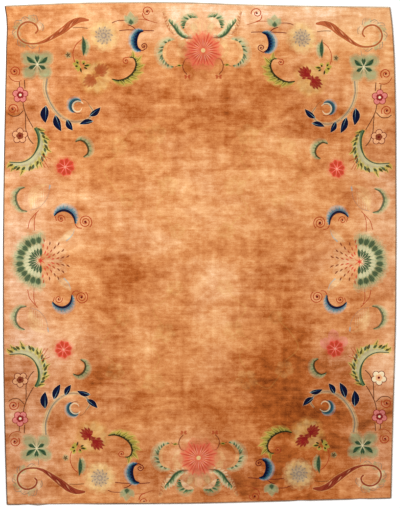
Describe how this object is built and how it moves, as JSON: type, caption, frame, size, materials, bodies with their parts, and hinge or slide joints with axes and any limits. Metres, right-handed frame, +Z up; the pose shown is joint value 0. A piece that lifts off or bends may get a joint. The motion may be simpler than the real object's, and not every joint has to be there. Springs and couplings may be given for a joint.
{
  "type": "hand-knotted wool rug",
  "caption": "Flat rectangular hand-knotted wool rug with an apricot ground, a floral border, overcast sides and narrow woven ends.",
  "frame": {"origin": "on the underside, at the middle of the rug's outline box", "axes": "+X across the rug to its right side, +Y along it to the end with the paler ground, +Z up out of the pile"},
  "size_m": [2.743, 3.505, 0.013],
  "materials": {
    "wool_pile": "cut and carved wool pile, matte with a soft sheen",
    "selvedge_wool": "wool yarn wrapped close around the edge warps",
    "cotton_web": "plain-woven undyed cotton"
  },
  "bodies": {
    "root": {"rug_body": "wool_pile", "selvedge_left": "selvedge_wool", "selvedge_right": "selvedge_wool", "end_web_top": "cotton_web", "end_web_bottom": "cotton_web"}
  },
  "joints": []
}
